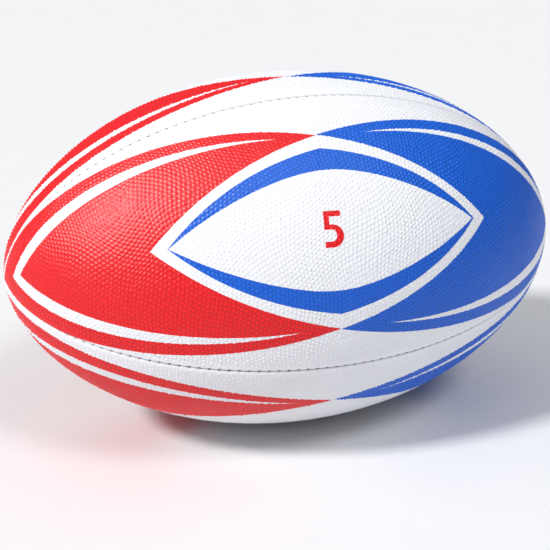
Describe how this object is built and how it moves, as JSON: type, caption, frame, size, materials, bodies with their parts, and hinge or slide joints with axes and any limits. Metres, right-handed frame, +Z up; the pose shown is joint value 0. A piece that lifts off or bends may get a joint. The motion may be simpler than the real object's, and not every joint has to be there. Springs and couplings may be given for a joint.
{
  "type": "rugby ball",
  "caption": "Oval ball of stitched, pimpled rubber panels over laminated fabric, with an inner bladder and a valve whose core pulls out.",
  "frame": {"origin": "centre of the ball", "axes": "+X along the ball's length, towards the blue end; +Z up; +Y out of the valve, at the back"},
  "size_m": [0.298, 0.1846, 0.1846],
  "materials": {
    "cover_rubber": "satin, pimpled grip, printed red, white and blue",
    "polyester_fabric": "plain weave, matte",
    "cotton_fabric": "plain weave, unbleached, matte",
    "waxed_thread": "waxed, twisted",
    "bladder_latex": "smooth, slightly translucent latex",
    "patch_rubber": "matte",
    "valve_rubber": "moulded, satin",
    "core_rubber": "moulded, satin, lubricated"
  },
  "bodies": {
    "ball": {"panel_cover_front": "cover_rubber", "panel_cover_top": "cover_rubber", "panel_cover_back": "cover_rubber", "panel_cover_bottom": "cover_rubber", "polyester_ply_front": "polyester_fabric", "polyester_ply_top": "polyester_fabric", "polyester_ply_back": "polyester_fabric", "polyester_ply_bottom": "polyester_fabric", "cotton_ply_front": "cotton_fabric", "cotton_ply_top": "cotton_fabric", "cotton_ply_back": "cotton_fabric", "cotton_ply_bottom": "cotton_fabric", "seam_thread_front_top": "waxed_thread", "seam_thread_top_back": "waxed_thread", "seam_thread_back_bottom": "waxed_thread", "seam_thread_bottom_front": "waxed_thread", "valve_lining_patch": "cotton_fabric", "bladder": "bladder_latex", "bladder_valve_patch": "patch_rubber", "valve_body": "valve_rubber"},
    "valve_core": {"valve_core": "core_rubber"}
  },
  "joints": [
    {"name": "valve_core_pull", "type": "slide", "parent": "ball", "child": "valve_core", "axis": [0, 1, 0], "range_m": [0, 0.02]}
  ]
}
